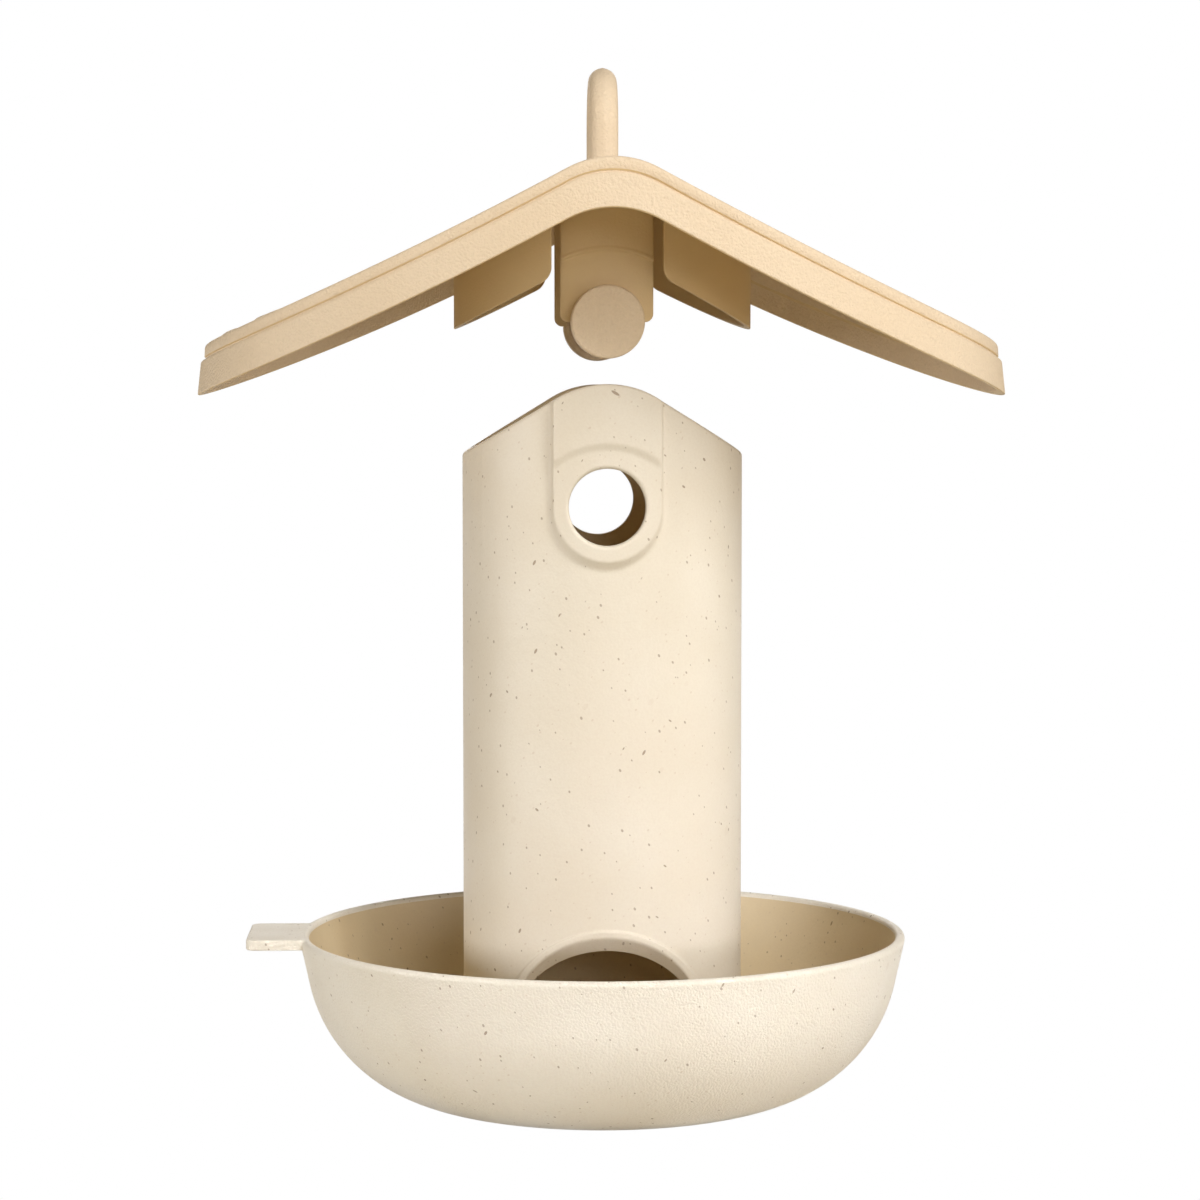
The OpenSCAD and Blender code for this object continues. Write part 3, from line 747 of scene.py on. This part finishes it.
def makePadSheet(bm):
    # Pad face, fold, sides and button hole, drawn flat. Returns the chain round its foot.
    s, silo = padSet, siloSet
    edge, z, flatTop = s["edgeRound"] + guard, s["holeZ"], silo["flatTop"]
    a, faceLow, faceHigh = s["halfWidth"] - edge, s["rise"] - s["step"], s["rise"]
    bore, r = silo["bore"] - silo["radius"], s["holeRound"]
    circle = bmesh.ops.create_circle(bm, cap_ends=False, segments=s["holeSteps"],
                                     radius=s["holeRadius"],
                                     matrix=Matrix.Translation((0, z, bore)))
    hole = each(e for v in circle["verts"] for e in v.link_edges)
    steps = boreEdge(bore) + [(0, faceLow - r - guard)]
    steps += roundOut(r, faceLow - r, r, 180, 90, 5) + [(r + guard, faceLow)]
    sweep(bm, hole, steps, lambda co: co - Vector((0, z, co.z)))

    # The fold rises from the lower face to the upper one
    centreY = z + s["arcUp"] - s["arcRadius"]
    offsets = [s["foldHalf"] * t for t in s["foldRows"]]
    offsets = [offsets[0] - guard] + offsets + [offsets[-1] + guard]
    radii = [s["arcRadius"] + d for d in offsets]
    eased = [0.5 + 0.75 * t - 0.25 * t ** 3 for t in s["foldRows"]]
    heights = [faceLow] + [faceLow + (faceHigh - faceLow) * k for k in eased] + [faceHigh]
    first, last = arcRows(bm, radii, heights, centreY, a, s["arcSteps"])
    left, right = ends(first)
    topLeft, topRight = ends(last)
    vert = lineTo(bm, right, a, z, s["sideSteps"])
    vert, _ = arcTo(bm, vert, 0, z, -180, s["lowSteps"])
    lineTo(bm, vert, left.co.x, left.co.y, s["sideSteps"])
    vert = lineTo(bm, topRight, a, flatTop)
    vert = lineTo(bm, vert, -a, flatTop)
    lineTo(bm, vert, topLeft.co.x, topLeft.co.y)
    weld(bm)
    aboveBore = bore + 1
    loose = [e for e in bm.edges if len(e.link_faces) < 2
             and min(v.co.z for v in e.verts) > aboveBore
             and not (e.is_boundary and all(abs(abs(v.co.x) - a) < hair for v in e.verts))]
    fillFlat(bm, [e for e in loose if max(v.co.z for v in e.verts) < faceLow + hair])
    fillFlat(bm, [e for e in loose if min(v.co.z for v in e.verts) > faceHigh - hair])
    path = [e for e in bm.edges if e.is_boundary and min(v.co.z for v in e.verts) > aboveBore
            and min(v.co.y for v in e.verts) < flatTop - near]
    top, foot = s["edgeRound"], s["footRound"]

    def shape(co, n, t):
        # t runs from 0 at the face to 5 on the tube, with a soft corner at each end of the flank
        spread = s["sideSpread"] + (s["lowSpread"] - s["sideSpread"]) * max(0, -n.normalized().y)
        rise, out = co.z, s["halfWidth"] - a
        slant = Vector((spread, -rise)).normalized()
        corner, low = Vector((out, rise)), Vector((out + spread, 0))
        if t <= 1:
            at = Vector((guard * t, rise))
        elif t <= 2:
            at = bendAt(corner - Vector((top, 0)), corner, corner + slant * top, t - 1)
        elif t <= 4:
            at = bendAt(low - slant * foot, low, low + Vector((foot, 0)), t - 3)
        else:
            at = low + Vector((foot + guard, 0))
        return Vector((co.x + n.x * at.x, co.y + n.y * at.x, at.y))

    return sweep(bm, path, s["flankRows"], lambda co: Vector((co.x, min(co.y - z, 0), 0)), shape)


def makeMouthSheet(bm):
    s, bore = mouthSet, siloSet["bore"] - siloSet["radius"]
    r, z, sill, corner = s["radius"], s["archZ"], s["sillZ"], s["cornerRadius"]
    lip, edge, wide, turns = s["lipRise"], s["edgeRound"], s["lipWidth"], s["cornerSteps"]
    before = set(bm.edges)
    vert = bm.verts.new((r, z, bore))
    vert, _ = arcTo(bm, vert, 0, z, 180, s["archSteps"])
    vert = lineTo(bm, vert, -r, sill + corner, s["sideSteps"])
    vert, _ = arcTo(bm, vert, -r + corner, sill + corner, 90, turns)
    vert = lineTo(bm, vert, r - corner, sill, s["sillSteps"])
    vert, _ = arcTo(bm, vert, r - corner, sill + corner, 90, turns)
    lineTo(bm, vert, r, z, s["sideSteps"])
    chain = closeChain(bm, before)

    def shape(co, n, step):
        # The cut rises towards the outside, most of all over the arch
        out, height = step
        rise = s["rise"] * min(1, max(0, (co.y - sill) / (z - sill)))
        if out <= edge:
            rise *= (height - bore) / (lip - bore)
        return Vector((co.x + n.x * out, co.y + n.y * out + rise, height))

    steps = boreEdge(bore, 3) + [(0, lip - edge - guard)]
    steps += roundOut(edge, lip - edge, edge, 180, 90, 4)
    steps += [(edge + s["lipFlat"], lip), (wide - edge - s["lipFlat"], lip)]
    steps += roundOut(wide - edge, lip - edge, edge, 90, 0, 4)
    steps += roundOut(wide + edge, edge, edge, 180, 270, 3)[1:] + [(wide + edge + guard, 0)]
    sweep(bm, chain, steps, lambda co: co - Vector((0, z - s["middleDrop"], co.z)), shape)


def makeWindowSheet(bm, centre):
    s, before = windowSet, set(bm.edges)
    left, right = centre - s["width"] / 2, centre + s["width"] / 2
    vert = bm.verts.new((left, s["low"], 0))
    for x, y in ((right, s["low"]), (right, s["high"]), (left, s["high"]), (left, s["low"])):
        vert = lineTo(bm, vert, x, y)
    chain = closeChain(bm, before)
    sweep(bm, chain, [(0, siloSet["bore"] - siloSet["radius"])], lambda co: co, moveFirst=False)


def makeSiloHalf(hasMouth):
    s, bm = siloSet, bmesh.new()
    radius, bore, flatTop = s["radius"], s["bore"] - s["radius"], s["flatTop"]
    padFoot = makePadSheet(bm)
    if hasMouth:
        makeMouthSheet(bm)
    for v in bm.verts:
        v.co.x = radius * math.asin(v.co.x / (radius + v.co.z))
    half = radius * math.pi / 2
    for side in (-1, 1):
        makeWindowSheet(bm, side * half / 2)
    left, right = ends(padFoot)
    vert = left
    for x, y in ((-half, flatTop), (-half, s["foot"]), (half, s["foot"]), (half, flatTop),
                 (right.co.x, right.co.y)):
        vert = lineTo(bm, vert, x, y)
    bmesh.ops.remove_doubles(bm, verts=[vert, right], dist=near)
    fillFlat(bm, [e for e in bm.edges if not e.is_manifold
                  and all(abs(v.co.z) < hair for v in e.verts)])
    bottom = [e for e in bm.edges if e.is_boundary
              and all(v.co.y < s["foot"] + hair for v in e.verts)]
    sweep(bm, bottom, [(0, bore)], lambda co: Vector((0, -1, 0)), moveFirst=False)
    strip = math.radians(s["stripDegrees"]) * radius
    stripCut(bm, spaced(-half, half, strip)[1:-1])

    def wrap():
        for v in bm.verts:
            turned, out = v.co.x / radius, radius + v.co.z
            v.co = (out * math.sin(turned), -out * math.cos(turned), v.co.y)

    wrap()

    # The gable is cut plane by plane, and its rim is rolled over to the bore
    slope, r, lower = s["slope"], s["ridgeRadius"], s["rimRound"]
    for degrees in spaced(-slope, slope, s["ridgeDegrees"]):
        n = Vector((math.sin(math.radians(degrees)), 0, math.cos(math.radians(degrees))))
        co = Vector((0, 0, s["top"] - r)) + n * (r - lower)
        bmesh.ops.bisect_plane(bm, geom=bm.verts[:] + bm.edges[:] + bm.faces[:], dist=1e-4,
                               plane_co=co, plane_no=n, clear_outer=True)
    weld(bm)
    edges = [e for e in bm.edges if e.is_boundary
             and all(abs(v.co.z - gableHeight(v.co.x, lower)) < s["rimSlack"] for v in e.verts)]
    turns = [math.radians(a) for a in s["rimTurns"]]
    cosSlope, flat = math.cos(math.radians(slope)), lower + s["rimFlat"]
    # Each step is how far in, whether from the bore, and how many roundings under the gable
    steps = [(lower * (1 - math.cos(a)), False, 1 - math.sin(a)) for a in turns]
    steps += [(flat, False, 0), (flat, True, 0)]
    steps += [(lower * (1 - math.sin(a)), True, 1 - math.cos(a)) for a in [0] + turns]
    steps += [(0, True, s["rimBand"])]
    base = {v: v.co.copy() for e in edges for v in e.verts}
    for inward, fromBore, under in steps:
        edges, source = extrudeChain(bm, edges)
        base = {v: base[old] for v, old in source.items()}
        for v, co in base.items():
            out = math.hypot(co.x, co.y)
            to = s["bore"] + inward if fromBore else out - inward
            x, y = co.x * to / out, co.y * to / out
            tilt = min(1.0, abs(x) / (r * math.sin(math.radians(slope))))
            v.co = (x, y, gableHeight(x) - lower * under / (1 + (cosSlope - 1) * tilt))

    # Laid flat again for the bore
    for v in bm.verts:
        v.co = (radius * math.atan2(v.co.x, -v.co.y), v.co.z, math.hypot(v.co.x, v.co.y) - radius)
    weld(bm)
    for side in (-1, 1):
        edgeVerts = sorted((v for v in bm.verts if side * v.co.x > half - near
                            and abs(v.co.z - bore) < near), key=lambda v: v.co.y)
        bmesh.ops.contextual_create(bm, geom=edgeVerts[:2])
    made = fillFlat(bm, [e for e in bm.edges if not e.is_manifold
                         and all(abs(v.co.z - bore) < near for v in e.verts)])
    faces = [g for g in made if isinstance(g, bmesh.types.BMFace)]
    touched = each(v for f in faces for v in f.verts) + each(e for f in faces for e in f.edges)
    stripCut(bm, spaced(-half, half, 2 * strip)[1:-1], touched + faces)
    wrap()
    return bm


def makeSilo():
    bm, rear = makeSiloHalf(True), makeSiloHalf(False)
    turnAbout(rear, math.pi)
    rearMesh = bpy.data.meshes.new("rearHalf")
    rear.to_mesh(rearMesh)
    rear.free()
    bm.from_mesh(rearMesh)
    bpy.data.meshes.remove(rearMesh)
    weld(bm, seamDist)
    boreEnd = siloSet["bore"] + siloSet["boreBand"]
    # faces in the bore take the darker inner copy, which is painted shade inside the tube
    for f in bm.faces:
        at = f.calc_center_median()
        f.material_index = 1 if math.hypot(at.x, at.y) < boreEnd else 0
    finishPiece(bm, "siloTube", "silo", ["silo_tube"], [satinBody, innerBodyPaintedShade])


makeSilo()
print("silo done")


# Bowl

bowlSet = {
    "radius": 98.0, "height": 54.5, "wall": 3.0, "curve": 49.0, "lean": 12.5, "footRing": 8.0,
    "footFlat": 0.5, "hollow": 0.8, "turns": 192,
    # the step from the hollow down to the foot: out from the foot ring's inside, up
    "footStep": ((-0.5, 0.8), (-0.1, 0.7), (0.3, 0)),
    "ringRadius": 41.8, "ringWall": 2.4, "ringHeight": 6.0, "ringSoft": 0.6, "ringCut": 0.2,
    "ringFootCut": 0.1, "rimBand": 2.2, "insideTilt": -0.05, "floorBand": 0.5,
}
lugSet = {
    "width": 8.0, "height": 2.0, "z": 5.5, "inner": 40.6, "outer": 43.5, "edgeRound": 0.3,
    "places": (45, 135, 225, 315),
}
tabSet = {
    "width": 35.0, "reach": 16.5, "thickness": 3.4, "cornerRadius": 3.0, "cornerSteps": 6,
    "edgeRound": 0.5, "innerRadius": 96.4, "innerSteps": 12,
}


def makeBowl():
    s, bm = bowlSet, bmesh.new()
    wall, curve, tilt = s["wall"], s["curve"], s["lean"]
    halfWall, lean = wall / 2, math.radians(tilt)
    side = (s["height"] - halfWall - curve + (curve - halfWall) * math.sin(lean)) / math.cos(lean)
    baseR = s["radius"] - halfWall - (curve - halfWall) * math.cos(lean) - side * math.sin(lean)
    along = Vector((math.sin(lean), math.cos(lean)))
    across = Vector((math.cos(lean), -math.sin(lean)))
    centre = Vector((baseR, curve))
    ring, ringIn = s["ringRadius"], s["ringRadius"] - s["ringWall"]
    footIn, top = baseR - s["footRing"], wall + s["ringHeight"]
    places = [(0, s["hollow"])] + [(footIn + out, up) for out, up in s["footStep"]]
    places += [(baseR - s["footFlat"], 0), (baseR, 0)]
    places += roundOut(centre.x, centre.y, curve, -90, -tilt, 44)[1:]
    rim = centre + across * (curve - halfWall) + along * side
    outer, inner = rim + across * halfWall, rim - across * halfWall
    places += [tuple(outer - along * guard)]
    places += roundOut(rim.x, rim.y, halfWall, -tilt, 180 - tilt, 12)
    places += [tuple(inner - along * guard)]
    places += roundOut(centre.x, centre.y, curve - wall, -tilt, -90, 40)
    soft, cut, footCut = s["ringSoft"], s["ringCut"], s["ringFootCut"]
    rightward, leftward, upward, downward = (1, 0), (-1, 0), (0, 1), (0, -1)
    places += softCorner(ring, wall, rightward, upward, soft, footCut)
    places += softCorner(ring, top, downward, leftward, soft, cut)
    places += softCorner(ringIn, top, rightward, downward, soft, cut)
    places += softCorner(ringIn, wall, upward, leftward, soft, footCut) + [(0, wall)]
    turnProfile(bm, places, (0, 0, 0), "Z", s["turns"])
    bmesh.ops.recalc_face_normals(bm, faces=bm.faces[:])
    for f in bm.faces:  # only the outside and the rim are grained and take the lighter copy, which is painted light; the inside, the floor and the hollow under the foot take the darker copy, which is painted shade
        at = f.calc_center_median()
        fromAxis = math.hypot(at.x, at.y)
        out = Vector((at.x, at.y, 0)).normalized()
        outside = f.normal.dot(out) > s["insideTilt"] and fromAxis > footIn
        onFloor = fromAxis < baseR and at.z > wall - s["floorBand"]
        onRim = at.z > s["height"] - s["rimBand"]
        f.material_index = 0 if onRim or outside and not onFloor else 1
    lug = lugSet
    size = (lug["outer"] - lug["inner"], lug["width"], lug["height"])
    middle = ((lug["outer"] + lug["inner"]) / 2, 0, lug["z"] + lug["height"] / 2)
    for degrees in lug["places"]:
        cube = bmesh.ops.create_cube(bm, size=1)["verts"]
        bmesh.ops.scale(bm, vec=size, verts=cube)
        bmesh.ops.translate(bm, vec=middle, verts=cube)
        turnAbout(bm, math.radians(degrees), cube)
        cubeEdges = each(e for v in cube for e in v.link_edges)
        bmesh.ops.bevel(bm, geom=cubeEdges, offset=lug["edgeRound"], offset_type="OFFSET",
                        segments=2, profile=0.5, affect="EDGES", material=-1)
    # the bowl's outside and rim take the lighter grained copy, whose tone is painted light
    finishPiece(bm, "bowlDish", "silo", ["bowl"], [grainBodyPaintedLight, innerBodyPaintedShade])


def makeTab():
    s, bm = tabSet, bmesh.new()
    half, r, inner, steps = s["width"] / 2, s["cornerRadius"], s["innerRadius"], s["cornerSteps"]
    outX, rootX = -(bowlSet["radius"] + s["reach"]), -math.sqrt(inner ** 2 - half ** 2)
    turn = math.degrees(math.asin(half / inner))
    vert = bm.verts.new((rootX, half, bowlSet["height"] - s["thickness"]))
    vert = lineTo(bm, vert, outX + r, half)
    vert, _ = arcTo(bm, vert, outX + r, half - r, 90, steps)
    vert = lineTo(bm, vert, outX, -half + r)
    vert, _ = arcTo(bm, vert, outX + r, -half + r, 90, steps)
    vert = lineTo(bm, vert, rootX, -half)
    arcTo(bm, vert, 0, 0, -2 * turn, s["innerSteps"])
    weld(bm, near)
    raisePlate(bm, s["thickness"], s["edgeRound"])
    # the tab takes the lighter grained copy, whose tone is painted light
    finishPiece(bm, "rimTab", "silo", ["rim_tab"], [grainBodyPaintedLight])


makeBowl()
makeTab()
print("bowl done")


# Camera, lamps, floor and world

camSet = {
    "distance": 1.0923, "height": 0.2303, "turn": 2.1, "across": -0.0007, "focal": 3386.0,
    "horizon": 388.0, "frameWidth": 1200.0, "sensor": 36.0,
}
lampSet = {
    # azimuth from the front towards the right, angle above level, width, height, watts, beam in
    # degrees, height of the place it is aimed at
    "keyLamp": (32, 43, 0.45, 0.7, 19.5, 180, 0.16),
    "leftLamp": (-74, 2, 0.9, 0.3, 13.0, 180, 0.16),
    "rightLamp": (80, 0, 0.9, 0.2, 5.0, 180, 0.16),
    "frontLamp": (12, 13, 0.5, 0.5, 6.6, 180, 0.16),
    "stripLamp": (36, 2, 0.08, 0.4, 1.8, 180, 0.16),
    "bowlLamp": (18, 1, 0.5, 0.08, 0.065, 14, 0.02),
    "backLamp": (180, 16, 0.9, 0.5, 4.5, 180, 0.16),
}
stageSet = {
    "lampDistance": 1.7, "floorHalf": 6, "floorDrop": 0.0005, "floorColour": (0.55, 0.48, 0.35, 1),
    "worldColour": (1, 0.74, 0.34, 1), "worldStrength": 0.1, "white": (1, 1, 1, 1),
}

turn = math.radians(camSet["turn"])
pitch = math.atan((camSet["frameWidth"] / 2 - camSet["horizon"]) / camSet["focal"])
ahead = Vector((math.sin(turn), math.cos(turn), 0))
rightward = Vector((math.cos(turn), -math.sin(turn), 0))
camData = bpy.data.cameras.new("camera")
camData.sensor_width = camSet["sensor"]
camData.lens = camSet["sensor"] * camSet["focal"] / camSet["frameWidth"]
camera = bpy.data.objects.new("camera", camData)
camera.location = -ahead * camSet["distance"] + rightward * camSet["across"]
camera.location.z = camSet["height"]
looking = ahead * math.cos(pitch) - Vector((0, 0, math.sin(pitch)))
camera.rotation_euler = looking.to_track_quat("-Z", "Y").to_euler()
bpy.context.scene.collection.objects.link(camera)
bpy.context.scene.camera = camera

for name, (azimuth, rise, width, height, watts, beam, aimZ) in lampSet.items():
    data = bpy.data.lights.new(name, "AREA")
    data.shape, data.size, data.size_y, data.energy = "RECTANGLE", width, height, watts
    data.spread = math.radians(beam)
    across, up = math.radians(azimuth), math.radians(rise)
    level = Vector((math.sin(across), -math.cos(across), 0))
    towards = level * math.cos(up) + Vector((0, 0, math.sin(up)))
    lampObject = bpy.data.objects.new(name, data)
    lampObject.location = Vector((0, 0, aimZ)) + towards * stageSet["lampDistance"]
    lampObject.rotation_euler = (-towards).to_track_quat("-Z", "Y").to_euler()
    bpy.context.scene.collection.objects.link(lampObject)

floorShade = Shade(bpy.data.materials.new("whiteFloor"))
camRays, glossy, through = (floorShade.node("ShaderNodeLightPath", None, None, f"Is {kind} Ray")
                            for kind in ("Camera", "Glossy", "Transmission"))
white = floorShade.node("ShaderNodeEmission", None, {"Color": stageSet["white"], "Strength": 1.0})
paper = floorShade.node("ShaderNodeBsdfDiffuse", None, {"Color": stageSet["floorColour"]})
seen = camRays.highest(glossy).highest(through)
floorShade.finish(floorShade.node("ShaderNodeMixShader", None, {0: seen, 1: paper, 2: white}))
bm = bmesh.new()
bmesh.ops.create_grid(bm, x_segments=1, y_segments=1, size=stageSet["floorHalf"])
floorMesh = bpy.data.meshes.new("studioFloor")
bm.to_mesh(floorMesh)
bm.free()
floorMesh.materials.append(floorShade.owner)
floor = bpy.data.objects.new("studioFloor", floorMesh)
floor.location.z = -stageSet["floorDrop"]
bpy.context.scene.collection.objects.link(floor)

worldShade = Shade(bpy.data.worlds.new("studio"), "ShaderNodeOutputWorld")
camRays = worldShade.node("ShaderNodeLightPath", None, None, "Is Camera Ray")
glow = worldShade.node("ShaderNodeBackground", None,
                       {"Color": stageSet["worldColour"], "Strength": stageSet["worldStrength"]})
white = worldShade.node("ShaderNodeBackground", None, {"Color": stageSet["white"], "Strength": 1.0})
bpy.context.scene.world = worldShade.finish(
    worldShade.node("ShaderNodeMixShader", None, {0: camRays, 1: glow, 2: white}))
bpy.context.scene.view_settings.view_transform = "Standard"
print("stage done")
